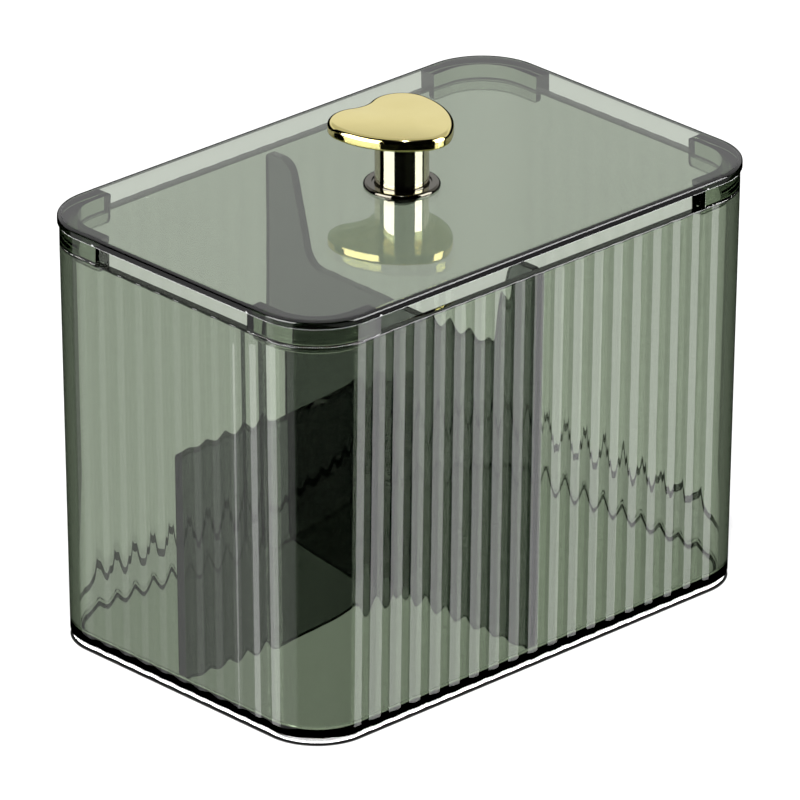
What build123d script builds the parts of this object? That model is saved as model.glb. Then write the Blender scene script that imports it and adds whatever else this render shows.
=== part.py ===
from build123d import *
import os
from math import atan2, degrees

# Cotton swab holder: a fluted clear box with three compartments and a lift-off lid with a heart knob.
# Millimetres. X runs along the long side, Y across, Z up. The origin is the middle of the base, on the table.

# Box moulding
rim_length = 144.2
rim_width = 94.2
rim_corner = 15.6
box_height = 99.6
wall_lean = 1.5  # how far each wall leans in from the rim down to the table
wall = 2.3
floor = 3.0
base_round = 2.0  # rounding where the outer walls meet the underside
flute_pitch = 6.28
flute_depth = 0.14

# Dividers
divider_fit = 0.1  # gap between a divider's edges and what it fits between
cross_thickness = 2.2
cross_drop = 0.4  # the cross divider's shoulders stay this far under the rim
cutout_depth = 24.0  # from the rim down to the level bottom of the cut-out
shoulder_width = 8.1  # from the box wall to the cut-out's upper corner
cutout_slope = 6.4  # how far each side of the cut-out runs in on its way down
cutout_shoulder_round = 4.5
cutout_bottom_round = 5.0
shoulder_round = 1.5
half_thickness = 2.3
half_height = 57.0  # from the box floor to the half divider's top edge
half_round = 1.0

# Lid moulding
lid_overhang = 0.5  # how far the lid stands out past the rim
lid_plate = 2.0
lid_edge = 0.5  # rounding of the plate's upper rim
vent_height = 4.6  # height of the open windows between the lid and the rim
foot_reach_x = 20.7  # how far each corner foot runs along the long sides, from the rim's end face
foot_reach_y = 21.9  # how far each corner foot runs along the short sides, from the rim's side face
lug_fit = 0.4  # side gap between the locating lugs and the box walls
lug_wall = 1.6
lug_drop = 2.3  # how far the lugs reach below the rim
lug_round = 1.0

# Knob
collar_diameter = 17.9
collar_height = 0.9
collar_edge = 0.3
stem_diameter = 12.6
stem_height = 12.0
stem_edge = 0.2
cap_half_width = 14.3
cap_thickness = 3.3
cap_top_round = 1.2
cap_under_round = 0.6
lobe_radius = 7.8
lobe_forward = 6.7  # how far the middles of the two lobes lie towards the notch side
flank_reach = 15.2  # where the two straight flanks would meet without the tip's rounding
tip_round = 4.8
cheek_round = 12.0
notch_round = 6.2

# Fasteners inside the knob
screw_diameter = 4.0
screw_engagement = 8.0  # how far the screw reaches into the stem
head_diameter = 8.0
head_height = 2.4
head_round = 0.8
recess_size = 4.4  # length of each arm pair of the cross recess
recess_slot = 0.9
recess_depth = 1.5
hole_clearance = 0.25  # all round the screw in the lid and the collar
thread_gap = 0.05  # all round the screw in the stem
washer_diameter = 10.0
washer_thickness = 0.8
washer_clearance = 0.15
spigot_diameter = 6.0
spigot_length = 3.0
spigot_gap = 0.05  # all round the spigot in the stem's socket
socket_spare = 0.2  # free depth under the spigot

# Sizes that follow from the ones above
tiny = 0.01  # two places nearer than this are the same
lean_angle = degrees(atan2(wall_lean, box_height))
lid_under = box_height + vent_height
lid_top = lid_under + lid_plate
collar_top = lid_top + collar_height
stem_top = collar_top + stem_height
lug_outset = wall + lug_fit
lug_inset = lug_outset + lug_wall
lug_bottom = box_height - lug_drop
vent_long = rim_length - 2 * foot_reach_x
vent_short = rim_width - 2 * foot_reach_y


def lean_at(height):
    """How far the walls have leaned in at this height, against the rim."""
    return wall_lean * (1 - height / box_height)


def inner_half(rim_size, height):
    """Half the inside width between two walls at this height."""
    return rim_size / 2 - wall - lean_at(height)


def fluted_side(middle, along, outward, straight):
    """Draw one wall's outside: crests at both ends, shallow grooves cut inwards in between."""
    count = max(1, round(straight / flute_pitch))
    pitch = straight / count
    level = flute_depth / 2
    radius = ((pitch / 4) ** 2 + level**2) / (2 * level)

    def place(distance, depth):
        return middle + along * distance - outward * depth

    start = -straight / 2
    crossing = start + pitch / 4
    RadiusArc(place(start, 0), place(crossing, level), -radius)
    for half_wave in range(2 * count - 1):
        bend = radius if half_wave % 2 == 0 else -radius
        RadiusArc(place(crossing, level), place(crossing + pitch / 2, level), bend)
        crossing += pitch / 2
    RadiusArc(place(crossing, level), place(-start, 0), -radius)


def outside_outline(height):
    """Draw the box's closed outline at this height: four fluted walls and four smooth corners."""
    half_length = rim_length / 2 - lean_at(height)
    half_width = rim_width / 2 - lean_at(height)
    corner = rim_corner - lean_at(height)
    straight_x = 2 * (half_length - corner)
    straight_y = 2 * (half_width - corner)
    sides = (
        (Vector(0, -half_width), Vector(1, 0), Vector(0, -1), straight_x),
        (Vector(half_length, 0), Vector(0, 1), Vector(1, 0), straight_y),
        (Vector(0, half_width), Vector(-1, 0), Vector(0, 1), straight_x),
        (Vector(-half_length, 0), Vector(0, -1), Vector(-1, 0), straight_y),
    )
    for index, (middle, along, outward, straight) in enumerate(sides):
        fluted_side(middle, along, outward, straight)
        next_middle, next_along, _, next_straight = sides[(index + 1) % 4]
        corner_start = middle + along * (straight / 2)
        corner_end = next_middle - next_along * (next_straight / 2)
        RadiusArc(corner_start, corner_end, -corner)


# Box shell: one moulding, fluted outside, smooth inside
with BuildPart() as box_shell:
    for height in (0, box_height):
        with BuildSketch(Plane.XY.offset(height)):
            with BuildLine():
                outside_outline(height)
            make_face()
    loft(ruled=True)
    fillet(box_shell.edges().group_by(Axis.Z)[0], base_round)
    with BuildSketch(Plane.XY.offset(floor)):
        inside_corner = rim_corner - wall - lean_at(floor)
        RectangleRounded(2 * inner_half(rim_length, floor), 2 * inner_half(rim_width, floor), inside_corner)
    extrude(amount=box_height - floor, taper=-lean_angle, mode=Mode.SUBTRACT)

# Cross divider: a full-height panel across the box with a wide U cut-out for the fingers
cross_top = box_height - cross_drop
with BuildPart() as cross_divider:
    with BuildSketch(Plane.YZ.offset(-cross_thickness / 2)):
        low = inner_half(rim_width, floor) - divider_fit
        high = inner_half(rim_width, cross_top) - divider_fit
        cutout_floor = box_height - cutout_depth
        cutout_half = high - shoulder_width
        bottom_half = cutout_half - cutout_slope
        with BuildLine():
            Polyline(
                (-low, floor),
                (low, floor),
                (high, cross_top),
                (cutout_half, cross_top),
                (bottom_half, cutout_floor),
                (-bottom_half, cutout_floor),
                (-cutout_half, cross_top),
                (-high, cross_top),
                close=True,
            )
        face = make_face()
        corners = face.vertices()
        fillet([v for v in corners if abs(abs(v.X) - high) < tiny], shoulder_round)
        fillet([v for v in corners if abs(abs(v.X) - cutout_half) < tiny], cutout_shoulder_round)
        fillet([v for v in corners if abs(abs(v.X) - bottom_half) < tiny], cutout_bottom_round)
    extrude(amount=cross_thickness)

# Half divider: a lower panel from the left wall to the cross divider
with BuildPart() as half_divider:
    with BuildSketch(Plane.XZ.offset(-half_thickness / 2)):
        half_top = floor + half_height
        near = -cross_thickness / 2 - divider_fit
        far_low = -inner_half(rim_length, floor) + divider_fit
        far_high = -inner_half(rim_length, half_top) + divider_fit
        with BuildLine():
            Polyline((near, floor), (near, half_top), (far_high, half_top), (far_low, floor), close=True)
        make_face()
    extrude(amount=half_thickness)
    top_ends = half_divider.edges().filter_by(Axis.Y).group_by(Axis.Z)[-1]
    fillet(top_ends, half_round)

# Lid: one moulding, a flat plate on four corner feet with lugs that locate inside the box
with BuildPart() as lid:
    with BuildSketch(Plane.XY.offset(lid_under)):
        RectangleRounded(rim_length + 2 * lid_overhang, rim_width + 2 * lid_overhang, rim_corner + lid_overhang)
    extrude(amount=lid_plate)
    fillet(lid.edges().group_by(Axis.Z)[-1], lid_edge)
    for bottom, outset in ((box_height, 0), (lug_bottom, lug_outset)):
        with BuildSketch(Plane.XY.offset(bottom)):
            RectangleRounded(rim_length - 2 * outset, rim_width - 2 * outset, rim_corner - outset)
            inner_corner = rim_corner - lug_inset
            RectangleRounded(
                rim_length - 2 * lug_inset, rim_width - 2 * lug_inset, inner_corner, mode=Mode.SUBTRACT
            )
            Rectangle(vent_long, rim_width, mode=Mode.SUBTRACT)
            Rectangle(rim_length, vent_short, mode=Mode.SUBTRACT)
        extrude(amount=lid_under - bottom)
    lug_edges = lid.edges().group_by(Axis.Z)[0]
    ends_x = [edge for edge in lug_edges if abs(abs(edge.center().X) - vent_long / 2) < tiny]
    ends_y = [edge for edge in lug_edges if abs(abs(edge.center().Y) - vent_short / 2) < tiny]
    fillet(ends_x + ends_y, lug_round)
    with BuildSketch(Plane.XY.offset(lid_under)):
        Circle(screw_diameter / 2 + hole_clearance)
    extrude(amount=lid_plate, mode=Mode.SUBTRACT)

# Knob collar: the flat ring between the stem and the lid
with BuildPart() as knob_collar:
    with BuildSketch(Plane.XY.offset(lid_top)):
        Circle(collar_diameter / 2)
        Circle(screw_diameter / 2 + hole_clearance, mode=Mode.SUBTRACT)
    extrude(amount=collar_height)
    collar_rim = knob_collar.edges().group_by(Axis.Z)[-1].sort_by(SortBy.RADIUS)[-1]
    fillet(collar_rim, collar_edge)

# Knob stem: a turned post, threaded from below and socketed on top
with BuildPart() as knob_stem:
    with BuildSketch(Plane.XY.offset(collar_top)):
        Circle(stem_diameter / 2)
    extrude(amount=stem_height)
    fillet(knob_stem.edges().group_by(Axis.Z)[0], stem_edge)
    with BuildSketch(Plane.XY.offset(collar_top)):
        Circle(screw_diameter / 2 + thread_gap)
    extrude(amount=stem_height, mode=Mode.SUBTRACT)
    with BuildSketch(Plane.XY.offset(stem_top)):
        Circle(spigot_diameter / 2 + spigot_gap)
    extrude(amount=-(spigot_length + socket_spare), mode=Mode.SUBTRACT)

# Knob cap: a thick heart with full rounded cheeks, its tip towards -Y, on a short spigot
with BuildPart() as knob_cap:
    with BuildSketch(Plane.XY.offset(stem_top)) as heart:
        lobe_middle = cap_half_width - lobe_radius
        with Locations((lobe_middle, lobe_forward), (-lobe_middle, lobe_forward)):
            Circle(lobe_radius)
        cheek = cap_half_width - flank_reach
        with BuildLine():
            Polyline(
                (cap_half_width, lobe_forward),
                (-cap_half_width, lobe_forward),
                (-cap_half_width, cheek),
                (0, -flank_reach),
                (cap_half_width, cheek),
                close=True,
            )
        make_face()
        middle_points = heart.vertices().filter_by(lambda v: abs(v.X) < tiny).sort_by(Axis.Y)
        fillet(middle_points[0], tip_round)
        middle_points = heart.vertices().filter_by(lambda v: abs(v.X) < tiny).sort_by(Axis.Y)
        fillet(middle_points[-1], notch_round)
        cheeks = heart.vertices().filter_by(lambda v: abs(v.Y - cheek) < tiny)
        fillet(cheeks, cheek_round)
    extrude(amount=cap_thickness)
    fillet(knob_cap.edges().group_by(Axis.Z)[-1], cap_top_round)
    fillet(knob_cap.edges().group_by(Axis.Z)[0], cap_under_round)
    with BuildSketch(Plane.XY.offset(stem_top)):
        Circle(spigot_diameter / 2)
    extrude(amount=-spigot_length)

# Washer under the lid, spreading the screw's pull
with BuildPart() as screw_washer:
    with BuildSketch(Plane.XY.offset(lid_under - washer_thickness)):
        Circle(washer_diameter / 2)
        Circle(screw_diameter / 2 + washer_clearance, mode=Mode.SUBTRACT)
    extrude(amount=washer_thickness)

# Pan-head screw: up through the washer, lid and collar into the stem
head_top = lid_under - washer_thickness
head_bottom = head_top - head_height
with BuildPart() as knob_screw:
    with BuildSketch(Plane.XY.offset(head_bottom)):
        Circle(head_diameter / 2)
    extrude(amount=head_height)
    fillet(knob_screw.edges().group_by(Axis.Z)[0], head_round)
    with BuildSketch(Plane.XY.offset(head_top)):
        Circle(screw_diameter / 2)
    extrude(amount=collar_top + screw_engagement - head_top)
    with BuildSketch(Plane.XY.offset(head_bottom)):
        Rectangle(recess_size, recess_slot)
        Rectangle(recess_slot, recess_size)
    extrude(amount=recess_depth, mode=Mode.SUBTRACT)

# Names and files
pieces = {
    "box_shell": box_shell,
    "cross_divider": cross_divider,
    "half_divider": half_divider,
    "lid": lid,
    "knob_collar": knob_collar,
    "knob_stem": knob_stem,
    "knob_cap": knob_cap,
    "screw_washer": screw_washer,
    "knob_screw": knob_screw,
}
os.makedirs("parts", exist_ok=True)
for name, piece in pieces.items():
    piece.part.label = name
    export_step(piece.part, f"parts/{name}.step")
    print(name, "volume", round(piece.part.volume), "mm3")
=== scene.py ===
# %% [markdown]
# # A fluted box for cotton swabs
#
# The object is a small clear box of green-tinted plastic. Its walls are smooth inside and carry shallow
# upright flutes outside. Two smoke-grey dividers split it into three, and a clear lid on four corner feet
# lies on top, with a polished heart for a knob. The CAD model gives every size and place, and this lesson the
# meshes and finishes that light needs.

from math import atan2, cos, exp, pi, radians, sin, sqrt, tan

import bmesh
import bpy
from mathutils import Matrix, Vector


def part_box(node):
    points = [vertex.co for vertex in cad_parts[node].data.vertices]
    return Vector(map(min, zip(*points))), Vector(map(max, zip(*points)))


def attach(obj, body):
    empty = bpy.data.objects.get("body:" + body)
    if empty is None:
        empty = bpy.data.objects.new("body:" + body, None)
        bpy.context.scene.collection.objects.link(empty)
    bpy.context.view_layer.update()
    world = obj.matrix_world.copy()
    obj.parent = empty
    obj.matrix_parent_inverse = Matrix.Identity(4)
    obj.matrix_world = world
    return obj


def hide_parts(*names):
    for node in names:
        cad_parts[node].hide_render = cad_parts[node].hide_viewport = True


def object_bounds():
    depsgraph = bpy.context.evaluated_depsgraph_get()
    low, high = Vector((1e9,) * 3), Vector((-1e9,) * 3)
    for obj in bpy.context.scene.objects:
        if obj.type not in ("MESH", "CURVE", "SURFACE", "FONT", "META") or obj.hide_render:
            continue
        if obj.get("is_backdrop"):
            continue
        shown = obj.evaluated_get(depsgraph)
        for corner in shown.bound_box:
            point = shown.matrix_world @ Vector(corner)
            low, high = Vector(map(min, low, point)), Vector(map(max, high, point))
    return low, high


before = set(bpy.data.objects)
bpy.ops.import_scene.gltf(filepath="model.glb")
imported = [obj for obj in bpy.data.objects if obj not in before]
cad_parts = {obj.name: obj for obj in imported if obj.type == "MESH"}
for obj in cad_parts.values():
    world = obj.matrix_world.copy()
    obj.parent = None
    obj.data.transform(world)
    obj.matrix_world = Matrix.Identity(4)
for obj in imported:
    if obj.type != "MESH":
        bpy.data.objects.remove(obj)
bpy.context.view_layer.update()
print("nodes:", ", ".join(sorted(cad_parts)))

# %% [markdown]
# ## The sizes
#
# Blender counts in metres, and the drawing of this box in millimetres. The main sizes are set down once, in
# metres, and each piece below is made from them.

# %% Sizes from the drawing
MM = 0.001
rim_length = 144.2 * MM
rim_width = 94.2 * MM
rim_corner = 15.6 * MM
box_height = 99.6 * MM
wall_lean = 1.5 * MM
wall = 2.3 * MM
floor_thickness = 3.0 * MM
base_round = 2.0 * MM
rim_round = 0.3 * MM
inner_round = 1.4 * MM
flute_depth = 0.14 * MM
run_long = rim_length - 2 * rim_corner
run_short = rim_width - 2 * rim_corner
print("straight runs in mm:", round(run_long / MM, 1), round(run_short / MM, 1))

# %% [markdown]
# ## The camera
#
# The photograph was taken with a very long lens, so upright edges stay almost parallel. The view was worked
# out from the corners of the rim and the lid: a little over 24 degrees above the horizon, with the long side
# on the right and a whisker of roll.

# %% Camera
def new_object(name, data):
    """A new object with this data, linked into the scene."""
    thing = bpy.data.objects.new(name, data)
    bpy.context.scene.collection.objects.link(thing)
    return thing


view_azimuth = radians(-43.768)
view_elevation = radians(24.451)
view_roll = radians(0.130)
frame_pixels = 800
focal_pixels = 10626.5
pixels_per_unit = 4.5460
view_unit = 1.0618 * MM
view_distance = focal_pixels / pixels_per_unit * view_unit
view_shift_right = -0.20 * view_unit
view_shift_up = 44.42 * view_unit

camera_data = bpy.data.cameras.new("camera")
camera_data.sensor_width = 36
camera_data.lens = focal_pixels / frame_pixels * camera_data.sensor_width
camera_data.clip_start = 0.1
camera_data.clip_end = 20
camera = new_object("camera", camera_data)
turn = Matrix.Identity(3)
for angle, axis in ((view_azimuth, "Z"), (pi / 2 - view_elevation, "X"), (view_roll, "Z")):
    turn = turn @ Matrix.Rotation(angle, 3, axis)
place = turn @ Vector((view_shift_right, view_shift_up, view_distance))
camera.matrix_world = Matrix.Translation(place) @ turn.to_4x4()
bpy.context.scene.camera = camera
print("camera at", [round(value, 3) for value in place], "m, lens", round(camera_data.lens), "mm")

# %% [markdown]
# ## Helpers for node trees
#
# Geometry and shader trees are both graphs of nodes and wires. Two small classes keep the recipes below
# short. A graph adds nodes, types in plain values and joins wires to sockets. A wire can be counted with:
# each sign adds a Math node to its tree.

# %% Wires
def sign(operation):
    """A method that joins a wire and a value in a Math node."""
    return lambda self, other: self.graph.math(operation, self, other)


class Wire:
    """A node's output. Its signs and limits add Math nodes, and give the new node's output."""

    __add__, __sub__, __mul__, __truediv__ = map(sign, ("ADD", "SUBTRACT", "MULTIPLY", "DIVIDE"))
    __pow__, __gt__, __lt__ = map(sign, ("POWER", "GREATER_THAN", "LESS_THAN"))
    at_least, at_most = map(sign, ("MAXIMUM", "MINIMUM"))

    def __init__(self, graph, socket):
        self.graph, self.socket = graph, socket

    def __rsub__(self, other):
        return self.graph.math("SUBTRACT", other, self)


# %% Graphs
class Graph:
    """A node tree in the making. A node's kind goes without the prefix that its tree's nodes share."""

    def __init__(self, tree):
        self.tree = tree
        self.prefix = tree.bl_idname.removesuffix("Tree")

    def put(self, socket, value):
        """Join a wire to this socket, or type a plain value in."""
        if isinstance(value, Wire):
            self.tree.links.new(value.socket, socket)
        else:
            socket.default_value = value

    def fill(self, node, inputs):
        for key, value in inputs.items():
            self.put(node.inputs[key], value)
        return node

    def node(self, kind, inputs=None, **settings):
        node = self.tree.nodes.new(kind if "Node" in kind else self.prefix + kind)
        for name, value in settings.items():
            setattr(node, name, value)
        return self.fill(node, inputs or {})

    def add(self, kind, inputs=None, output=0, **settings):
        """One output of a new node."""
        return Wire(self, self.node(kind, inputs, **settings).outputs[output])

    def wires(self, kind, inputs=None, **settings):
        """All outputs of a new node, by name."""
        return {socket.name: Wire(self, socket) for socket in self.node(kind, inputs, **settings).outputs}

    def math(self, operation, *values):
        return self.add("ShaderNodeMath", dict(enumerate(values)), operation=operation)

    def vector(self, x, y, z):
        return self.add("ShaderNodeCombineXYZ", {0: x, 1: y, 2: z})

    def mix_colours(self, share, first, second):
        return self.add("Mix", {0: share, 6: first, 7: second}, output=2, data_type="RGBA")

    def choose(self, data_type, index, values):
        """The value that stands at this index in the list."""
        node = self.node("IndexSwitch", data_type=data_type)
        while len(node.index_switch_items) < len(values):
            node.index_switch_items.new()
        for number, value in enumerate([index, *values]):
            self.put(node.inputs[number], value)
        return Wire(self, node.outputs[0])


# %% Opening and closing a tree
def new_tree(kind, name, inputs, outputs=(("Geometry", "Geometry"),)):
    """A new tree's graph and the wires of its inputs, each given with its value or else its kind."""
    tree = bpy.data.node_groups.new(name, kind + "NodeTree")
    kinds = {int: "Int", float: "Float", tuple: "Color"}
    for label, value in inputs.items():
        socket_type = "NodeSocket" + kinds.get(type(value), value if isinstance(value, str) else "")
        socket = tree.interface.new_socket(name=label, in_out="INPUT", socket_type=socket_type)
        if not isinstance(value, str):
            socket.default_value = value
    for label, socket_kind in outputs:
        tree.interface.new_socket(name=label, in_out="OUTPUT", socket_type="NodeSocket" + socket_kind)
    graph = Graph(tree)
    return graph, graph.wires("NodeGroupInput")


def close_tree(graph, **results):
    """Join the results to the tree's outputs, and return the tree."""
    graph.node("NodeGroupOutput", results)
    print(graph.tree.name, "has", len(graph.tree.nodes), "nodes")
    return graph.tree


# %% [markdown]
# ## The wall's section
#
# Cut the box through its middle and one wall shows its section: along the underside, round the foot, up the
# leaning outside, over the rim, down the inside and back along the floor. Every point of the real surface
# lies at some distance out from a plain inner rectangle, the one that joins the middles of the four corner
# roundings. So the section is drawn as distance out against height, once, and each wall and corner reads it.
# An attribute called fluted marks the outer points, which the flutes may push in.

# %% Section tree
section_sizes = {
    "Corner": rim_corner, "Wall": wall, "Lean": wall_lean, "Height": box_height, "Floor": floor_thickness,
    "Base Round": base_round, "Edge Round": rim_round, "Inner Round": inner_round,
}


def wall_section_tree():
    graph, size = new_tree("Geometry", "wall_section", {**section_sizes, "Spine": run_short / 2})
    index = graph.add("InputIndex")
    spine = size["Spine"] * -1
    inside = size["Corner"] - size["Wall"]
    inside_foot = inside - size["Lean"] * (1 - size["Floor"] / size["Height"])
    corners = [
        (spine, 0), (size["Corner"] - size["Lean"], 0), (size["Corner"], size["Height"]),
        (inside, size["Height"]), (inside_foot, size["Floor"]), (spine, size["Floor"]),
    ]
    places = graph.choose("VECTOR", index, [graph.vector(out, 0, height) for out, height in corners])
    line = graph.add("MeshLine", {"Count": len(corners)})
    placed = graph.add("SetPosition", {"Geometry": line, "Position": places})
    marked = graph.add("StoreNamedAttribute", {
        "Geometry": graph.add("MeshToCurve", {"Mesh": placed}), "Name": "fluted",
        "Value": graph.choose("FLOAT", index, [0.0, 1.0, 1.0, 0.0, 0.0, 0.0]),
    }, data_type="FLOAT", domain="POINT")
    radii = [0.0, size["Base Round"], size["Edge Round"], size["Edge Round"], size["Inner Round"], 0.0]
    rounded = graph.add("FilletCurve", {
        "Curve": marked, "Count": graph.choose("INT", index, [1, 8, 4, 4, 8, 1]),
        "Radius": graph.choose("FLOAT", index, radii), "Limit Radius": False,
    }, mode="POLY")
    return close_tree(graph, Geometry=rounded)


section_tree = wall_section_tree()

# %% [markdown]
# ## One fluted side
#
# A side is a grid. Its rows take the points of the section, and its columns step along the wall. Where the
# section is marked as fluted, the column's place in the wave pushes the point inwards. The wave isn't a sine:
# the mould was cut with a round tool, so crests and grooves are equal arcs that meet where the surface is
# steepest.

# %% Side tree
long_flutes, flute_steps = 18, 12


def section_grid(graph, section, steps):
    """A grid along the section, with each point's column, distance out, height and flute mark."""
    rows = graph.add("AttributeDomainSize", {0: section}, "Point Count", component="CURVE")
    grid = graph.add("MeshGrid", {"Vertices X": steps + 1, "Vertices Y": rows})
    index = graph.add("InputIndex")
    column = graph.math("FLOOR", index / rows)
    found = []
    for data_type, value in (
        ("FLOAT_VECTOR", graph.add("InputPosition")),
        ("FLOAT", graph.add("InputNamedAttribute", {"Name": "fluted"}, data_type="FLOAT")),
    ):
        read = {"Geometry": section, "Value": value, "Index": index - column * rows}
        found.append(graph.add("SampleIndex", read, data_type=data_type, domain="POINT"))
    apart = graph.wires("ShaderNodeSeparateXYZ", {0: found[0]})
    return grid, column, apart["X"], apart["Z"], found[1]


def flute_wave(graph, along, pitch, depth):
    """How deep the surface lies at this distance along the wall: 0 on a crest, the full depth in a groove."""
    quarter = pitch / 4
    radius = (quarter ** 2 + (depth / 2) ** 2) / depth
    from_crest = graph.math("PINGPONG", along, quarter * 2)
    near = from_crest.at_most(quarter * 2 - from_crest)
    sag = radius - graph.math("SQRT", radius ** 2 - near ** 2)
    return sag + (from_crest > quarter) * (depth - sag * 2)


def fluted_side_tree():
    graph, put_in = new_tree("Geometry", "fluted_side", {
        "Section": "Geometry", "Run": run_long, "Out": run_short / 2, "Flute Depth": flute_depth,
        "Flutes": long_flutes, "Steps": flute_steps,
    })
    steps = put_in["Flutes"] * put_in["Steps"]
    grid, column, out, height, fluted = section_grid(graph, put_in["Section"], steps)
    along = column / steps * put_in["Run"]
    wave = flute_wave(graph, along, put_in["Run"] / put_in["Flutes"], put_in["Flute Depth"])
    pushed = out - fluted * wave
    half_run = put_in["Run"] / 2
    limit = half_run + pushed.at_most(0)
    kept = (along - half_run).at_least(limit * -1).at_most(limit)
    position = graph.vector(kept, (put_in["Out"] + pushed) * -1, height)
    return close_tree(graph, Geometry=graph.add("SetPosition", {"Geometry": grid, "Position": position}))


side_tree = fluted_side_tree()

# %% [markdown]
# ## One corner
#
# A corner reads the same section. Its columns fan out round the corner's middle, a quarter of a turn in all.
# The wall's foot has a smaller radius than its rim, so the corner leans in by itself, as a cone.

# %% Corner tree
corner_fan = 24


def corner_tree():
    graph, put_in = new_tree("Geometry", "round_corner", {"Section": "Geometry", "Steps": corner_fan})
    grid, column, out, height, _ = section_grid(graph, put_in["Section"], put_in["Steps"])
    quarter_turn = pi / 2
    angle = column / put_in["Steps"] * quarter_turn - quarter_turn
    beyond, within = out.at_least(0), out.at_most(0)
    x = graph.math("COSINE", angle) * beyond + within
    y = graph.math("SINE", angle) * beyond - within
    position = graph.vector(x, y, height)
    return close_tree(graph, Geometry=graph.add("SetPosition", {"Geometry": grid, "Position": position}))


round_corner_tree = corner_tree()

# %% [markdown]
# ## The whole moulding
#
# Two long sides, two short sides and four corners are placed as instances, made real, and merged where their
# edges meet. Edges that fold by more than 30 degrees are marked sharp, so that smooth shading stops there.

# %% Shell tree
short_flutes = 10
merge_distance = 0.01 * MM
fold_limit = radians(30)


def shell_tree():
    graph, put_in = new_tree("Geometry", "fluted_shell", {
        **section_sizes, "Long Run": run_long, "Short Run": run_short, "Flute Depth": flute_depth,
        "Long Flutes": long_flutes, "Short Flutes": short_flutes, "Steps": flute_steps,
        "Corner Steps": corner_fan, "Material": "Material",
    })
    half_long, half_short = put_in["Long Run"] / 2, put_in["Short Run"] / 2
    sizes = {name: put_in[name] for name in section_sizes}
    section = graph.add("Group", {**sizes, "Spine": half_short}, node_tree=section_tree)
    sides = []
    for run, out, flutes, turns in (
        ("Long Run", half_short, "Long Flutes", (0, pi)),
        ("Short Run", half_long, "Short Flutes", (pi / 2, -pi / 2)),
    ):
        side = graph.add("Group", {
            "Section": section, "Run": put_in[run], "Out": out, "Flutes": put_in[flutes],
            "Steps": put_in["Steps"], "Flute Depth": put_in["Flute Depth"],
        }, node_tree=side_tree)
        for angle in turns:
            sides.append(graph.add("Transform", {"Geometry": side, "Rotation": (0, 0, angle)}))
    fan = {"Section": section, "Steps": put_in["Corner Steps"]}
    corner = graph.add("Group", fan, node_tree=round_corner_tree)
    middles = graph.add("MeshGrid", {
        "Size X": put_in["Long Run"], "Size Y": put_in["Short Run"], "Vertices X": 2, "Vertices Y": 2,
    })
    turns = [(0, 0, angle) for angle in (-pi / 2, pi, 0, pi / 2)]
    turned = graph.choose("VECTOR", graph.add("InputIndex"), turns)
    corners = graph.add("InstanceOnPoints", {
        "Points": middles, "Instance": corner,
        "Rotation": graph.add("FunctionNodeEulerToRotation", {0: turned}),
    })
    joined = graph.node("JoinGeometry")
    for part in [corners, *sides]:
        graph.put(joined.inputs[0], part)
    real = graph.add("RealizeInstances", {"Geometry": Wire(graph, joined.outputs[0])})
    merged = graph.add("MergeByDistance", {"Geometry": real, "Distance": merge_distance})
    smooth = graph.add("SetShadeSmooth", {"Geometry": merged}, domain="FACE")
    creased = graph.add("SetShadeSmooth", {
        "Geometry": smooth, "Selection": graph.add("InputMeshEdgeAngle") > fold_limit, "Shade Smooth": False,
    }, domain="EDGE")
    coated = graph.add("SetMaterial", {"Geometry": creased, "Material": put_in["Material"]})
    return close_tree(graph, Geometry=coated)


fluted_shell_tree = shell_tree()

# %% [markdown]
# ## The skin of a moulding
#
# A polished mould leaves a skin that is glossy but never quite flat: the plastic shrinks a little as it
# cools, so long reflections waver. Two soft noises, one wide and one fine, give the height of that skin in a
# group that every plastic here shares.

# %% Moulded skin group
def moulded_skin_group():
    graph, put_in = new_tree("Shader", "moulded_skin", {
        "Wide Size": 45.0, "Fine Size": 260.0, "Fine Share": 0.12,
    }, [("Height", "Float")])
    place_on = graph.add("TexCoord", output="Object")
    wide = graph.add("TexNoise", {"Vector": place_on, "Scale": put_in["Wide Size"], "Detail": 1})
    fine = graph.add("TexNoise", {"Vector": place_on, "Scale": put_in["Fine Size"], "Detail": 2})
    return close_tree(graph, Height=wide + fine * put_in["Fine Share"])


moulded_skin = moulded_skin_group()

# %% [markdown]
# ## Painted dark edges
#
# The rim of a tinted sheet looks almost black, because the light that leaves there has run along the sheet.
# Here
# that dark is painted shade: a group paints the surface's colour dark between two heights, where it lies far
# enough out from the middle. So the lid's edge and the box's rim each get their painted dark line by naming
# their own heights and distance.

# %% Painted edge shade group
def core_distance(graph, place_on):
    """How far out a place is, on the plan, from the rectangle round which walls and lid run."""
    core = (run_long / 2, run_short / 2, 1)
    absolute = graph.add("VectorMath", {0: place_on}, operation="ABSOLUTE")
    beyond = graph.add("VectorMath", {0: absolute, 1: core}, operation="SUBTRACT")
    beyond = graph.add("VectorMath", {0: beyond, 1: (0, 0, 0)}, operation="MAXIMUM")
    return graph.add("VectorMath", {0: beyond}, output="Value", operation="LENGTH")


def painted_edge_shade_group():
    # The Edge colour is painted shade, put where light has run along the sheet.
    graph, put_in = new_tree("Shader", "painted_edge_shade", {
        "Bottom": 0.0, "Top": 0.0, "Inside": -1.0, "Soft": 0.00005,
        "Clear": (1, 1, 1, 1), "Edge": (0.02, 0.025, 0.02, 1),
    }, [("Color", "Color")])
    place_on = graph.add("TexCoord", output="Object")
    height = graph.wires("SeparateXYZ", {0: place_on})["Z"]
    out = core_distance(graph, place_on) - put_in["Inside"]
    least = (height - put_in["Bottom"]).at_most(put_in["Top"] - height).at_most(out)
    mask = (least / put_in["Soft"]).at_least(0).at_most(1)
    return close_tree(graph, Color=graph.mix_colours(mask, put_in["Clear"], put_in["Edge"]))


painted_edge_shade = painted_edge_shade_group()
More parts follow.
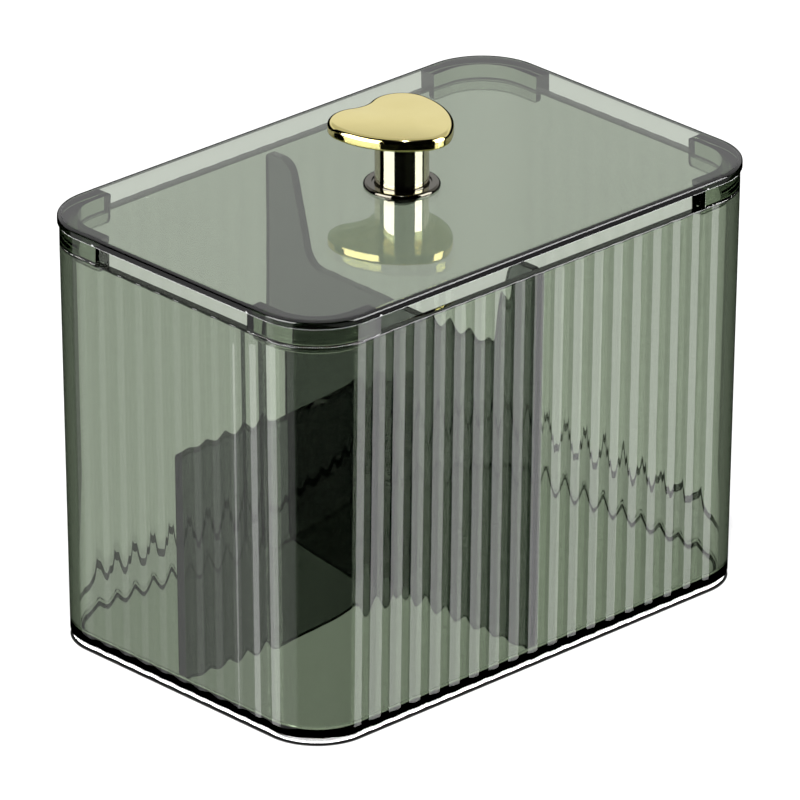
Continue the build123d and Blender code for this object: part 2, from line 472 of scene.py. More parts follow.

# %% [markdown]
# ## Clear tinted plastic
#
# The colour of clear plastic isn't on its surface. Light loses a share of its red, green and blue with every
# millimetre that it travels inside, so thin walls look pale and edges, where light runs along the sheet, look
# nearly black. A Principled surface with full transmission bends the light, and an absorption volume takes
# the colour out on the way. The rim and the lid's edge are darkened further with painted shade in the
# surface's colour.

# %% Plastic materials
plastic_ior = 1.52
density_margin = 1.2


def new_material(name):
    """A new material, its graph and its Principled surface."""
    material = bpy.data.materials.new(name)
    material.use_nodes = True
    return material, Graph(material.node_tree), material.node_tree.nodes["Principled BSDF"]


def clear_plastic(name, loss_per_mm, waver, edge_bottom, edge_top, edge_inside=-1.0):
    """Glossy clear plastic that takes this much red, green and blue out of light per millimetre."""
    material, graph, surface = new_material(name)
    edges = {"Bottom": edge_bottom, "Top": edge_top, "Inside": edge_inside}
    skin = graph.add("Group", node_tree=moulded_skin)
    # The base colour is white, with painted shade on the edge band that the group marks.
    graph.fill(surface, {
        "Base Color": graph.add("Group", edges, node_tree=painted_edge_shade), "Roughness": 0.0,
        "Transmission Weight": 1, "IOR": plastic_ior,
        "Normal": graph.add("Bump", {"Height": skin, "Strength": 1.0, "Distance": waver}),
    })
    density = density_margin * max(loss_per_mm) / MM
    share_kept = [1 - loss / MM / density for loss in loss_per_mm]
    volume = graph.add("VolumeAbsorption", {"Color": (*share_kept, 1), "Density": density})
    graph.fill(graph.tree.nodes["Material Output"], {"Volume": volume})
    print(name, "keeps per mm", [round(exp(-loss), 3) for loss in loss_per_mm])
    return material


lid_under = 104.2 * MM
lid_top = 106.2 * MM
lid_out = rim_corner + 0.5 * MM
lid_margin = 1.0 * MM
hair = 0.05 * MM
rim_line = 0.5 * MM
wall_waver, lid_waver = 0.04 * MM, 0.02 * MM
green_loss, smoky_loss = (0.245, 0.210, 0.270), (0.66, 0.63, 0.65)
rim_top = box_height + rim_line
# The last heights and distance give where each plastic's painted edge shade lies.
tinted_plastic = clear_plastic("tinted_plastic", green_loss, wall_waver, box_height - rim_line, rim_top)
lid_plastic = clear_plastic(
    "lid_plastic", green_loss, lid_waver, lid_under - hair, lid_top - hair, lid_out - lid_margin)
smoky_plastic = clear_plastic("smoky_plastic", smoky_loss, wall_waver, box_height, rim_top)

# %% [markdown]
# ## Make the box
#
# The tree runs as a modifier on an empty mesh. A weighted-normal modifier after it lets the big flat faces
# rule the shading at the small roundings, which matters here, because refraction shows every tilted normal.
# The result is made a plain mesh that stands for the CAD node.

# %% Box shell
def set_input(modifier, label, value):
    """Set a tree's input on a modifier by the socket's identifier."""
    sockets = modifier.node_group.interface.items_tree
    identifiers = {item.name: item.identifier for item in sockets if item.in_out == "INPUT"}
    modifier[identifiers[label]] = value


def measure(piece):
    """Print the piece's triangles, size and volume, which is above 0 when its faces point outwards."""
    work = bmesh.new()
    work.from_mesh(piece.data)
    open_edges = sum(len(edge.link_faces) != 2 for edge in work.edges)
    triangles = sum(len(face.verts) - 2 for face in work.faces)
    volume = work.calc_volume(signed=True) / MM**3
    work.free()
    size = [round(1000 * value, 2) for value in piece.dimensions]
    print(piece.name, "triangles", triangles, "size", size, "volume", round(volume), "open edges", open_edges)


def place_piece(maker, name, body, node):
    """Make the maker's result a plain mesh with even normals, which stands for its CAD node."""
    modifier = maker.modifiers.new("even_normals", "WEIGHTED_NORMAL")
    modifier.mode = "FACE_AREA"
    modifier.weight = 50
    modifier.keep_sharp = True
    depsgraph = bpy.context.evaluated_depsgraph_get()
    mesh = bpy.data.meshes.new_from_object(maker.evaluated_get(depsgraph))
    mesh.name = name
    piece = new_object(name, mesh)
    bpy.data.objects.remove(maker)
    bpy.context.view_layer.update()
    measure(piece)
    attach(piece, body)
    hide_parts(node)
    return piece


box_maker = new_object("box_maker", bpy.data.meshes.new("box_maker"))
shell_modifier = box_maker.modifiers.new("fluted_shell", "NODES")
shell_modifier.node_group = fluted_shell_tree
set_input(shell_modifier, "Material", tinted_plastic)
place_piece(box_maker, "fluted_box", "box", "box_shell")

# %% [markdown]
# ## The lid
#
# The lid is one moulding: a flat plate, four corner feet under it that hold it above the rim, and lugs on the
# feet that reach inside the box. Its section changes only where a foot ends. So it is drawn as columns of
# points round the same inner rectangle as the box, each with or without the foot's points, and the last
# column of each foot is closed with a flat face. The top falls a little towards the rim, so the rim turns
# away from the bright sky and shows as a dark line.

# %% Lid sizes
lid_edge = 0.5 * MM
crisp_edge = 0.15 * MM
foot_end_long = 51.4 * MM
foot_end_short = 25.2 * MM
foot_end_bevel = 0.1 * MM
foot_bottom = box_height
lug_out = rim_corner - 2.7 * MM
lug_in = rim_corner - 4.3 * MM
lug_bottom = 97.3 * MM
lug_round = 1.0 * MM
lug_steps = (lug_round, 0.55 * lug_round, 0.25 * lug_round)
vent_steps, corner_steps = 14, 20
hole_radius = 2.25 * MM
top_slope = radians(12)
slope_width = 1.5 * MM
slope_end = lid_top - slope_width * tan(top_slope)
up, right, down, left = pi / 2, 0, -pi / 2, -pi


def spread(start, end, steps):
    """The places of this many even steps from start towards end, without the end."""
    return [start + (end - start) * step / steps for step in range(steps)]


def rounded_corner(x, z, from_angle, to_angle, radius, steps=2):
    """Points of a small rounding at a section's corner, which bulges towards the corner."""
    middle_angle = (from_angle + to_angle) / 2
    reach = radius / cos((to_angle - from_angle) / 2)
    centre_x = x - reach * cos(middle_angle)
    centre_z = z - reach * sin(middle_angle)
    angles = [*spread(from_angle, to_angle, steps), to_angle]
    return [(centre_x + radius * cos(angle), centre_z + radius * sin(angle)) for angle in angles]


def foot_section(bottom):
    """The foot's points from its outer root down, along the lug and up inside."""
    return [
        *rounded_corner(rim_corner, foot_bottom, right, down, crisp_edge),
        (lug_out, foot_bottom),
        *rounded_corner(lug_out, bottom, right, down, crisp_edge),
        *rounded_corner(lug_in, bottom, down, left, crisp_edge),
    ]


plate_section = [
    (lid_out - slope_width, lid_top),
    *rounded_corner(lid_out, slope_end, up - top_slope, right, lid_edge, steps=6),
    *rounded_corner(lid_out, lid_under, right, down, crisp_edge),
    (rim_corner, lid_under),
]
print("plate section", len(plate_section), "points, foot section", len(foot_section(lug_bottom)))

# %% Lid columns
def side_stations(half_run, foot_end):
    """Places along one side, with the kind of stretch that follows each."""
    stations = [(-half_run, "foot")] + [(-foot_end - step, "foot") for step in lug_steps]
    stations += [(place_along, "vent") for place_along in spread(-foot_end, foot_end, vent_steps)]
    return stations + [(foot_end + step, "foot") for step in (0, *reversed(lug_steps))]


def lug_bottom_at(distance):
    """Height of the lug's underside at this distance from the foot's end face."""
    missing = min(max(lug_round - distance, 0), lug_round)
    return lug_bottom + lug_round - sqrt(lug_round**2 - missing**2)


def lid_columns():
    """Each column's base point, outward direction, stretch kind and lug bottom, once round the lid."""
    columns = []
    long_side = (run_long / 2, run_short / 2, foot_end_long)
    short_side = (run_short / 2, run_long / 2, foot_end_short)
    for side, (half_run, half_out, foot_end) in enumerate((long_side, short_side) * 2):
        side_turn = side * pi / 2
        along = Vector((cos(side_turn), sin(side_turn), 0))
        outward = Vector((sin(side_turn), -cos(side_turn), 0))
        for place_along, kind in side_stations(half_run, foot_end):
            base = along * place_along + outward * half_out
            columns.append((base, outward, kind, lug_bottom_at(abs(place_along) - foot_end)))
        base = along * half_run + outward * half_out
        for angle in spread(0, pi / 2, corner_steps):
            columns.append((base, outward * cos(angle) + along * sin(angle), "foot", lug_bottom))
    return columns


def lid_ring(work, base, direction, footed, bottom):
    """The vertices of one column, under the names of the section's stretches."""
    sections = {"plate": plate_section, "under": [(lug_in, lid_under)]}
    if footed:
        sections["foot"] = foot_section(bottom)
    ring = {
        name: [work.verts.new(base + direction * out + Vector((0, 0, height))) for out, height in points]
        for name, points in sections.items()
    }
    rim_point = base + direction * lid_out
    hole_point = rim_point * (hole_radius / rim_point.length)
    ring["hole"] = [work.verts.new(hole_point + Vector((0, 0, height))) for height in (lid_under, lid_top)]
    return ring


print("columns round the lid:", len(lid_columns()))

# %% Clear lid
def bridge(work, here, there):
    """Faces between two closed loops of vertices."""
    for index in range(len(here)):
        after = (index + 1) % len(here)
        work.faces.new((here[index], here[after], there[after], there[index]))


def break_edges(work, faces, width, segments):
    """Bevel the edges round these faces."""
    bmesh.ops.recalc_face_normals(work, faces=work.faces)
    edges = {edge for face in faces for edge in face.edges}
    bmesh.ops.bevel(work, geom=list(edges), offset=width, segments=segments, profile=0.5, affect="EDGES",
                    clamp_overlap=True)


def build_lid():
    work = bmesh.new()
    columns = lid_columns()
    kinds = [kind for _, _, kind, _ in columns]
    rings = [
        lid_ring(work, base, direction, "foot" in (kind, kinds[index - 1]), bottom)
        for index, (base, direction, kind, bottom) in enumerate(columns)
    ]
    end_faces = []
    for index, kind in enumerate(kinds):
        ring, ahead = rings[index], rings[(index + 1) % len(rings)]
        names = ("plate", "foot", "under", "hole") if kind == "foot" else ("plate", "under", "hole")
        bridge(work, *([vert for name in names for vert in column[name]] for column in (ring, ahead)))
        if kind != kinds[index - 1]:
            end_faces.append(work.faces.new([ring["plate"][-1], *ring["foot"], ring["under"][0]]))
    break_edges(work, end_faces, foot_end_bevel, segments=2)
    return work


smooth_limit = radians(35)


def finish_piece(work, name, material, body, node):
    """Turn a bmesh into a smooth-shaded piece that stands for its CAD node."""
    bmesh.ops.recalc_face_normals(work, faces=work.faces)
    for face in work.faces:
        face.smooth = True
    for edge in work.edges:
        edge.smooth = edge.calc_face_angle(0) < smooth_limit
    mesh = bpy.data.meshes.new(name)
    work.to_mesh(mesh)
    work.free()
    mesh.materials.append(material)
    return place_piece(new_object(name + "_maker", mesh), name, body, node)


finish_piece(build_lid(), "clear_lid", lid_plastic, "lid", "lid")

# %% [markdown]
# ## The dividers
#
# Each divider is a flat panel cut to an outline. Its corners are arcs, and its edges have a small bevel. The
# real panels stand on the floor with a film of air under them, and that film matters: without it, light would
# pass straight from one plastic into the other.

# %% Divider sizes
air_film = 0.03 * MM
divider_fit = 0.1 * MM
panel_bevel = 0.2 * MM
cross_half = 1.1 * MM
cross_top = 99.2 * MM
half_half = 1.15 * MM
half_top = 60.0 * MM
half_round = 1.0 * MM
foot_round = inner_round + divider_fit
shoulder_round, cut_top_round, cut_foot_round = 1.5 * MM, 4.5 * MM, 5.0 * MM
shoulder_width = 8.1 * MM
cut_slant = 6.4 * MM
cut_depth = 24.0 * MM


def inner_half(rim_size, height):
    """Half the inside width of the box at this height."""
    return rim_size / 2 - wall - wall_lean * (1 - height / box_height)


stand = floor_thickness + air_film
inside = [2 * inner_half(size, stand) for size in (rim_length, rim_width)]
print("inside on the floor in mm:", [round(size / MM, 1) for size in inside])

# %% Divider panels
def round_corners(corners, steps=8):
    """An outline from corners, each a place and a radius. A corner whose radius is 0 stays sharp."""
    points = [Vector(corner[:2]) for corner in corners]
    outline = []
    for index, here in enumerate(points):
        radius = corners[index][2]
        if radius == 0:
            outline.append(here)
            continue
        before = (points[index - 1] - here).normalized()
        after = (points[(index + 1) % len(points)] - here).normalized()
        half_angle = before.angle(after) / 2
        centre = here + (before + after).normalized() * (radius / sin(half_angle))
        start = here + before * (radius / tan(half_angle)) - centre
        end = here + after * (radius / tan(half_angle)) - centre
        outline += [centre + start.slerp(end, step / steps) * radius for step in range(steps + 1)]
    return outline


def build_panel(corners, half_thickness, place_point):
    """A panel with these rounded corners, bevelled along both faces' edges."""
    work = bmesh.new()
    outline = round_corners(corners)
    front, back = (
        [work.verts.new(place_point(*point, offset)) for point in outline]
        for offset in (-half_thickness, half_thickness)
    )
    faces = [work.faces.new(front), work.faces.new(list(reversed(back)))]
    bridge(work, front, back)
    break_edges(work, faces, panel_bevel, segments=3)
    return work


low = inner_half(rim_width, stand) - divider_fit
high = inner_half(rim_width, cross_top) - divider_fit
cut_half = high - shoulder_width
right_corners = [
    (low, stand, foot_round), (high, cross_top, shoulder_round), (cut_half, cross_top, cut_top_round),
    (cut_half - cut_slant, box_height - cut_depth, cut_foot_round),
]
left_corners = [(-y, z, radius) for y, z, radius in reversed(right_corners)]
cross_corners = left_corners[-1:] + right_corners + left_corners[:-1]
cross_work = build_panel(cross_corners, cross_half, lambda y, z, x: (x, y, z))
finish_piece(cross_work, "cross_panel", smoky_plastic, "box", "cross_divider")

near_end = -cross_half - divider_fit
half_corners = [
    (near_end, stand, 0), (near_end, half_top, half_round),
    (-inner_half(rim_length, half_top) + divider_fit, half_top, half_round),
    (-inner_half(rim_length, stand) + divider_fit, stand, foot_round),
]
half_work = build_panel(half_corners, half_half, lambda x, z, y: (x, y, z))
finish_piece(half_work, "half_panel", smoky_plastic, "box", "half_divider")

# %% [markdown]
# ## Polished metal
#
# The knob is cast, polished and plated in pale gold, and the screw under the lid is plain plated steel.
# Polished metal is mostly what it reflects, but the buffing wheel leaves a faint haze, more in some places
# than in others, and the plating is a little deeper in colour where it is thin. One group gives each metal
# both.

# %% Buffed surface group
def buffed_surface_group():
    graph, put_in = new_tree("Shader", "buffed_surface", {
        "Bright": (0.8, 0.8, 0.8, 1), "Deep": (0.6, 0.6, 0.6, 1),
        "Roughness": 0.05, "Haze": 0.04, "Patch Size": 120.0, "Grain Size": 1500.0,
    }, [("Color", "Color"), ("Roughness", "Float"), ("Height", "Float")])
    place_on = graph.add("TexCoord", output="Object")
    patches = graph.add("TexNoise", {"Vector": place_on, "Scale": put_in["Patch Size"]})
    grain = graph.add("TexNoise", {"Vector": place_on, "Scale": put_in["Grain Size"]})
    colour = graph.mix_colours(patches, put_in["Bright"], put_in["Deep"])
    roughness = put_in["Roughness"] + put_in["Haze"] * patches * grain
    return close_tree(graph, Color=colour, Roughness=roughness, Height=grain)


buffed_surface = buffed_surface_group()

# %% Gold and steel
def polished_metal(name, bright, deep, roughness, haze, relief):
    """Metal with a buffed surface. The relief is the height of its finest grain."""
    material, graph, surface = new_material(name)
    finish = {"Bright": (*bright, 1), "Deep": (*deep, 1), "Roughness": roughness, "Haze": haze}
    buffed = graph.wires("Group", finish, node_tree=buffed_surface)
    graph.fill(surface, {
        "Base Color": buffed["Color"], "Metallic": 1, "Roughness": buffed["Roughness"],
        "Normal": graph.add("Bump", {"Height": buffed["Height"], "Strength": 1.0, "Distance": relief}),
    })
    return material


plated, satin = 0.0004 * MM, 0.002 * MM
pale_metal = polished_metal("pale_metal", (0.80, 0.77, 0.58), (0.74, 0.70, 0.50), 0.04, 0.06, plated)
# The collar's metal is a darkened copy of the plating: its dark tone is painted shade, for the dark
# surroundings it mirrors.
painted_shade_metal = polished_metal("painted_shade_metal", (0.13, 0.12, 0.10), (0.09, 0.085, 0.07), 0.06, 0.08, plated)
knob_metal = polished_metal("knob_metal", (0.80, 0.70, 0.31), (0.74, 0.63, 0.25), 0.05, 0.08, plated)
steel = polished_metal("steel", (0.45, 0.45, 0.44), (0.34, 0.34, 0.33), 0.14, 0.20, satin)
for node in ("knob_screw", "screw_washer"):
    for material_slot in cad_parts[node].material_slots:
        material_slot.material = steel
        print(node, "is made of", steel.name)

# %% [markdown]
# ## The knob's post and collar
#
# Both were turned on a lathe, so each is a profile swung round the knob's axis. The profile goes round in
# fine steps and is shaded smooth, because facets would break up the long reflections that make a post look
# turned. The collar's top rim is a soft quarter round that catches one thin arc of light, and a fine groove
# parts it from the post. The plating on the post is paler than on the cap.

# %% Turned pieces
collar_radius = 8.95 * MM
collar_top = 107.1 * MM
collar_round = 0.7 * MM
groove_bottom = collar_top - 0.35 * MM
groove_width = 0.7 * MM
groove_side = 0.15 * MM
post_radius = 6.3 * MM
post_top = 119.1 * MM
post_edge = 0.2 * MM
post_bore = 2.05 * MM
socket_radius = 3.05 * MM
socket_bottom = post_top - 3.2 * MM
turned_steps = 128


def join_rings(work, rings):
    """Faces between each ring of points and the next. Returns the rings as vertices."""
    placed = [[work.verts.new(point) for point in ring] for ring in rings]
    for here, there in zip(placed, placed[1:]):
        bridge(work, here, there)
    return placed


def build_turned(profile):
    """A ring-shaped piece with this closed profile of radius and height."""
    work = bmesh.new()
    around = [(cos(angle), sin(angle)) for angle in spread(0, 2 * pi, turned_steps)]
    rings = [[(radius * x, radius * y, height) for x, y in around] for radius, height in profile]
    placed = join_rings(work, rings)
    bridge(work, placed[-1], placed[0])
    return work


collar_profile = [
    (hole_radius, lid_top), (collar_radius, lid_top),
    *reversed(rounded_corner(collar_radius, collar_top, up, right, collar_round, steps=8)),
    (post_radius + groove_width, collar_top), (post_radius + groove_width - groove_side, groove_bottom),
    (post_radius + groove_side, groove_bottom), (post_radius, collar_top), (hole_radius, collar_top),
]
# The collar is made of the darkened metal, whose dark tone is painted shade.
finish_piece(build_turned(collar_profile), "knob_ring", painted_shade_metal, "lid", "knob_collar")

post_profile = [
    (post_bore, collar_top), (post_radius - post_edge, collar_top), (post_radius, collar_top + post_edge),
    *reversed(rounded_corner(post_radius, post_top, up, right, post_edge, steps=3)),
    (socket_radius, post_top), (socket_radius, socket_bottom), (post_bore, socket_bottom),
]
finish_piece(build_turned(post_profile), "knob_post", pale_metal, "lid", "knob_stem")

# %% [markdown]
# ## The heart
#
# The heart's outline is four kinds of arc, each running smoothly into the next: a hollow one at the notch, a
# lobe, a long full flank and the tip. Each point keeps the direction that faces out, so the rounded rim is
# the same outline drawn in by small steps. The top is buffed to a very slight crown, which is why its light
# fades from back to front. It keeps to the CAD cap's box.

# %% Heart outline
cap_half_width = 14.3 * MM
lobe_radius = 7.8 * MM
lobe_forward = 6.7 * MM
notch_radius = 7.0 * MM
tip_reach = 13.2 * MM
tip_radius = 7.5 * MM
flank_radius = 21.5 * MM


def arc_with_normals(centre, radius, start, end, steps, hollow=False):
    """Points along an arc, each with its outward direction. A hollow arc faces its own centre."""
    outs = [Vector((cos(angle), sin(angle))) for angle in spread(start, end, steps)]
    return [(centre + out * radius, -out if hollow else out) for out in outs]


def heart_half():
    """The right half of the outline, from the notch round to the tip."""
    lobe = Vector((cap_half_width - lobe_radius, lobe_forward))
    notch = Vector((0, lobe.y + sqrt((lobe_radius + notch_radius)**2 - lobe.x**2)))
    tip = Vector((0, tip_radius - tip_reach))
    apart = (tip - lobe).length
    to_lobe, to_tip = flank_radius - lobe_radius, flank_radius - tip_radius
    along = (to_lobe**2 - to_tip**2 + apart**2) / (2 * apart)
    towards_tip = (tip - lobe).normalized()
    inwards = Vector((towards_tip.y, -towards_tip.x))
    flank = lobe + towards_tip * along + inwards * sqrt(to_lobe**2 - along**2)
    notch_turn = atan2(lobe.y - notch.y, lobe.x)
    lobe_turn = atan2(lobe.y - flank.y, lobe.x - flank.x)
    tip_turn = atan2(tip.y - flank.y, tip.x - flank.x)
    return [
        *arc_with_normals(notch, notch_radius, down, notch_turn, 8, hollow=True),
        *arc_with_normals(lobe, lobe_radius, notch_turn + pi, lobe_turn, 32),
        *arc_with_normals(flank, flank_radius, lobe_turn, tip_turn, 20),
        *arc_with_normals(tip, tip_radius, tip_turn, down, 10),
        (Vector((0, -tip_reach)), Vector((0, -1))),
    ]


right_half = heart_half()
flip = Vector((-1, 1))
left_half = [(point * flip, out * flip) for point, out in reversed(right_half[1:-1])]
heart = right_half + left_half
fullest = max((point.x - point.y) / sqrt(2) for point, _ in heart)
print("heart has", len(heart), "points; its flank stands", round(fullest / MM, 2), "mm out from the axis")

# %% Knob cap
cap_top = 122.4 * MM
cap_round = 1.2 * MM
cap_under_round = 0.6 * MM
cap_crown = 0.25 * MM
spigot_radius = 3.0 * MM
spigot_bottom = post_top - 3.0 * MM
crown_shares = (0.85, 0.7, 0.55, 0.4, 0.25, 0.1)


def quarter_round(steps):
    return [(1 - cos(angle), 1 - sin(angle)) for angle in (*spread(0, up, steps), up)]


def cap_rows():
    """How far the outline is drawn in, and its height, from under the cap to the top of its rim."""
    rim_height = cap_top - cap_crown
    rows = [(cap_under_round * y, post_top + cap_under_round * x) for x, y in quarter_round(4)]
    return rows + [(cap_round * x, rim_height - cap_round * y) for x, y in quarter_round(10)]


def build_cap():
    work = bmesh.new()
    spigot = [Vector(point).normalized() * spigot_radius for point, _ in heart]
    rings = [[(*point, height) for point in spigot] for height in (spigot_bottom, post_top)]
    rings += [[(*(point - out * inset), height) for point, out in heart] for inset, height in cap_rows()]
    rim = rings[-1]
    for share in crown_shares:
        rings.append([(x * share, y * share, cap_top - cap_crown * share**2) for x, y, _ in rim])
    placed = join_rings(work, rings)
    for ring, height in ((placed[0], spigot_bottom), (placed[-1], cap_top)):
        middle = work.verts.new((0, 0, height))
        for index in range(len(ring)):
            work.faces.new((ring[index], ring[(index + 1) % len(ring)], middle))
    return work


heart_cap = finish_piece(build_cap(), "heart_cap", knob_metal, "lid", "knob_cap")
for label, corners in (
    ("CAD cap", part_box("knob_cap")),
    ("heart_cap", [heart_cap.matrix_world @ Vector(corner) for corner in heart_cap.bound_box]),
):
    spans = [(min(values), max(values)) for values in zip(*corners)]
    print(label, "spans in mm:", [[round(1000 * value, 2) for value in span] for span in spans])

# %% [markdown]
# ## The floor
#
# The photograph's table is so bright that it is plain white. The floor keeps a plain white paint that takes
# the object's shadow, and shows brighter to the camera and through the plastic than it lights the object.
# Mirror reflections pass it by: what they show is drawn in the world below. Under the box the paint turns
# nearly black as a painted contact shadow: in a band just inside the foot for every ray, and over the whole
# footprint for the camera.

# %% Floor
floor_half = 1.5
floor_drop = 0.05 * MM
floor_glow = 0.72
painted_shadow_width = 3.0 * MM
white, painted_shadow_tone = (1, 1, 1, 1), (0.04, 0.04, 0.04, 1)


def stage_sheet(name, corners, material):
    """A flat sheet of the studio, which isn't part of the object."""
    mesh = bpy.data.meshes.new(name)
    mesh.from_pydata(corners, [], [(0, 1, 2, 3)])
    mesh.materials.append(material)
    sheet = new_object(name, mesh)
    sheet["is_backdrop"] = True
    return sheet


def ray_kinds(graph):
    """A ray's path: whether it has met a mirror, has passed into plastic, and has done so at most twice."""
    path = graph.wires("LightPath")
    passed = path["Transmission Depth"]
    return path, path["Glossy Depth"] > 0.5, passed > 0.5, passed < 2.5


def show_blend(graph, share, first, second):
    """Make a blend of two shaders the material's surface."""
    blend = graph.add("MixShader", {0: share, 1: first, 2: second})
    graph.fill(graph.tree.nodes["Material Output"], {"Surface": blend})


def floor_material():
    material, graph, paint = new_material("floor_white")
    distance = core_distance(graph, graph.add("TexCoord", output="Object"))
    path, mirrored, _, _ = ray_kinds(graph)
    box_foot = rim_corner - wall_lean
    # Painted contact shadow: near-black paint, and no glow, in a band inside the box's foot, and under the
    # whole footprint for camera rays.
    painted_shadow_band = (distance > box_foot - painted_shadow_width).at_least(path["Is Camera Ray"])
    open_floor = 1 - (distance < box_foot) * painted_shadow_band
    tone = graph.mix_colours(open_floor, painted_shadow_tone, white)
    graph.fill(paint, {"Base Color": tone, "Roughness": 1, "Specular IOR Level": 0})
    seen = path["Is Glossy Ray"].at_least(path["Is Transmission Ray"]).at_least(path["Is Camera Ray"])
    glow = graph.add("Emission", {"Color": white, "Strength": 1})
    painted = Wire(graph, paint.outputs[0])
    lit = graph.add("MixShader", {0: seen * open_floor * floor_glow, 1: painted, 2: glow})
    show_blend(graph, mirrored, lit, graph.add("BsdfTransparent"))
    return material


square = ((-1, -1), (1, -1), (1, 1), (-1, 1))
stage_sheet("floor", [(x * floor_half, y * floor_half, -floor_drop) for x, y in square], floor_material())
print("floor sheet of", 2 * floor_half, "m")

# %% [markdown]
# ## Soft boxes and black cards
#
# Clear things are photographed with cards. White soft boxes stand where the flutes mirror them, and turn each
# flute into a bright stripe. Black cards stand at both sides, where the outermost edges bend the view, and
# draw a dark outline round the box. Low black strips along its foot end the stripes above the base, and a
# grey strip beside the lid tones down the lid's front edge. A card is felt only by the rays it is meant for,
# so it lights nothing by itself.

# %% Card helpers
def card_material(name, strength, for_mirrors):
    """Glows for mirrored rays only, or else for rays that come through the plastic without a mirror."""
    material, graph, surface = new_material(name)
    graph.tree.nodes.remove(surface)
    _, mirrored, through, shallow = ray_kinds(graph)
    shown = mirrored * shallow if for_mirrors else through * (1 - mirrored)
    glow = graph.add("Emission", {"Color": white, "Strength": strength})
    show_blend(graph, shown, graph.add("BsdfTransparent"), glow)
    return material


def lay_card(name, corners, strength, for_mirrors):
    """A card between four places."""
    card = stage_sheet(name, corners, card_material(name, strength, for_mirrors))
    for ray in ("camera", "diffuse", "shadow", "volume_scatter"):
        setattr(card, "visible_" + ray, False)
    print("card", name, "of strength", strength)


def upright_card(name, start, end, low, high, strength, for_mirrors=True):
    """A card that stands between two places on the plan."""
    lay_card(name, [(*start, low), (*end, low), (*end, high), (*start, high)], strength, for_mirrors)


def on_plan(origin, azimuth, distance):
    """The place at this azimuth, counted in degrees from -Y towards +X, and distance from the origin."""
    return (origin[0] + distance * sin(radians(azimuth)), origin[1] - distance * cos(radians(azimuth)))


# %% Cards
long_face = (0, -47 * MM)
short_face = (-70 * MM, 0)
short_face_front = (-70 * MM, -44 * MM)
for name, face, first, last, distance, low, high, strength in (
    ("soft_box_right", long_face, 44.4, 28, 1.54, -1.6, -0.35, 2.9),
    ("soft_box_right_top", long_face, 53, 14, 1.54, -0.35, 1.5, 9),
    ("soft_box_left", short_face_front, -122, -140, 0.1, -0.2, 0.056, 3.6),
    ("soft_box_left_top", short_face, -75, -128, 1.2, -0.2, 1.2, 9),
):
    upright_card(name, on_plan(face, first, distance), on_plan(face, last, distance), low, high, strength)

black_side = 100 * MM
black_near, black_far, black_tall = 0.03, 0.07, 0.2
black_strength = 0.30
view_across = Vector((cos(view_azimuth), sin(view_azimuth)))
view_ahead = Vector((-sin(view_azimuth), cos(view_azimuth)))
for name, side in (("black_card_left", -1), ("black_card_right", 1)):
    middle = view_across * black_side * side
    near, far = middle - view_ahead * black_near, middle + view_ahead * black_far
    upright_card(name, near, far, 0, black_tall, black_strength, for_mirrors=False)

foot_gap = 2.0 * MM
foot_low, foot_high = -0.5 * MM, 2.1 * MM
foot_long = run_long / 2 + rim_corner
foot_front, foot_side = (-(run / 2 + rim_corner - wall_lean + foot_gap) for run in (run_short, run_long))
upright_card("foot_card_right", (foot_side, foot_front), (foot_long, foot_front), foot_low, foot_high, 0.0)
upright_card("foot_card_left", (foot_side, foot_front), (foot_side, -foot_front), foot_low, foot_high, 0.0)

lid_front = -(run_short / 2 + lid_out + foot_gap)
lid_card_drop = 1.3 * MM
lid_low, lid_high = lid_under - lid_card_drop, lid_top - lid_card_drop
upright_card("lid_card_right", (foot_side, lid_front), (foot_long, lid_front), lid_low, lid_high, 0.3)

# %% [markdown]
# ## The shadow's border
#
# The shadow of a clear box is pale, but its border is dark, because the edges and corners bend the light
# away. Seen through the flutes this border is the upper zigzag line. Two narrow strips on the floor draw it
# behind the box.

# %% Shadow border
border_width = 3.0 * MM
border_level = -floor_drop / 2
border_tone = 0.10
border_start = Vector((-90, 57.5)) * MM
border_corner = Vector((93.5, 70.5)) * MM
border_end = Vector((90.6, -42)) * MM
for name, start, end in (
    ("shadow_border_back", border_start, border_corner),
    ("shadow_border_side", border_corner, border_end),
):
    along = (end - start).normalized()
    across = Vector((-along.y, along.x)) * border_width / 2
    places = [start - across, end - across, end + across, start + across]
    lay_card(name, [(*place, border_level) for place in places], border_tone, for_mirrors=False)

# %% [markdown]
# ## The world and the lamp
#
# The world is plain white where it is seen straight and where it lights the object. Mirrored rays meet a
# studio instead: a pale sky behind, brightest low down, a lit table below and darkness in front, where the
# photographer stands. It is drawn as patches on the sphere of directions, each between two azimuths and two
# heights in degrees. A lamp overhead, a little to the front, throws the box's shadow just behind it.

# %% World
world = bpy.data.worlds.new("studio")
bpy.context.scene.world = world
world.use_nodes = True
graph = Graph(world.node_tree)
_, mirrored, through, shallow = ray_kinds(graph)
facing = graph.wires("SeparateXYZ", {0: graph.add("TexCoord", output="Generated")})
degrees_per_radian = 180 / pi
full_turn, first_azimuth = 360, -60
azimuth = graph.math("ARCTAN2", facing["X"], facing["Y"] * -1) * degrees_per_radian
azimuth = graph.math("WRAP", azimuth, first_azimuth + full_turn, first_azimuth)
elevation = graph.math("ARCSINE", facing["Z"]) * degrees_per_radian


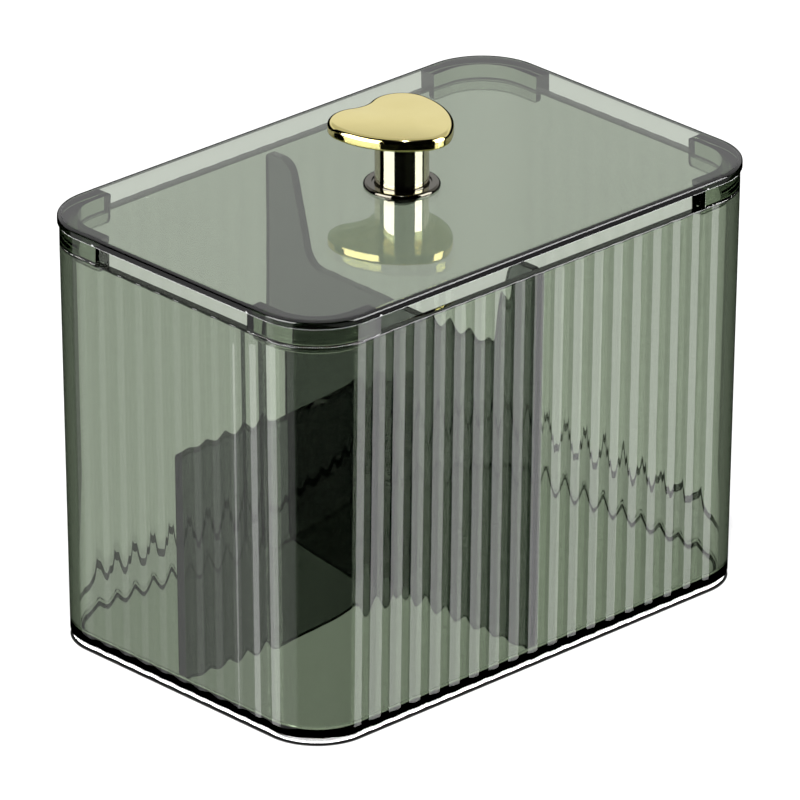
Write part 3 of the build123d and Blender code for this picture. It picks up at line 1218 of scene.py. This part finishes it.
def band(value, low, high, soft=2):
    """1 between low and high, falling softly to 0 at both ends."""
    rise, fall = (
        graph.add("MapRange", {0: value, 1: limit - soft, 2: limit + soft, 3: before, 4: after},
                  interpolation_type="SMOOTHSTEP")
        for limit, before, after in ((low, 0.0, 1.0), (high, 1.0, 0.0))
    )
    return rise * fall


nadir, table_edge, low_edge, zenith = -95, -32, 12, 95
all_round = (first_azimuth - 5, first_azimuth + full_turn + 5)
behind, left_side, left_strip = (62, 210), (210, 278), (225, 240)
studio = 0
for azimuths, heights, soft, level, seen_by in (
    (behind, (15, zenith), 4, 0.62, 1),
    (behind, (15, 27), 4, 0.34, 1),
    (behind, (table_edge, -12), 2, 0.42, through),
    (left_side, (table_edge, -14), 2, 0.6, shallow),
    (left_strip, (table_edge, -14), 2, 0.6, shallow),
    (all_round, (nadir, table_edge), 2, 1.0, 1),
):
    studio = band(azimuth, *azimuths) * band(elevation, *heights, soft) * seen_by * level + studio
table_glare = 12.0
seen_through = 0.05
outside = 1 - through
studio = studio + band(elevation, nadir, table_edge) * outside * table_glare
low_sky = band(elevation, nadir, low_edge) * (floor_glow - seen_through)
straight = outside + through * (low_sky + seen_through)
strength = graph.add("Mix", {0: mirrored, 2: straight, 3: studio})
graph.fill(world.node_tree.nodes["Background"], {"Color": white, "Strength": strength})
print("world has", len(world.node_tree.nodes), "nodes")

# %% Lamp and view
shadow_reach = 20 * MM
sun_data = bpy.data.lights.new("overhead", "SUN")
sun_data.energy = 2.4
sun_data.angle = radians(1.5)
sun = new_object("overhead", sun_data)
falls_along = Vector((shadow_reach, shadow_reach, -lid_top))
sun.rotation_euler = falls_along.to_track_quat("-Z", "Y").to_euler()

scene = bpy.context.scene
scene.view_settings.view_transform = "Standard"
scene.cycles.max_bounces = 32
scene.cycles.transmission_bounces = 32
scene.cycles.glossy_bounces = 16
print("lamp of strength", round(sun_data.energy, 1), "and", scene.cycles.max_bounces, "bounces")

# %% Finish
bpy.context.view_layer.update()
low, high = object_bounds()
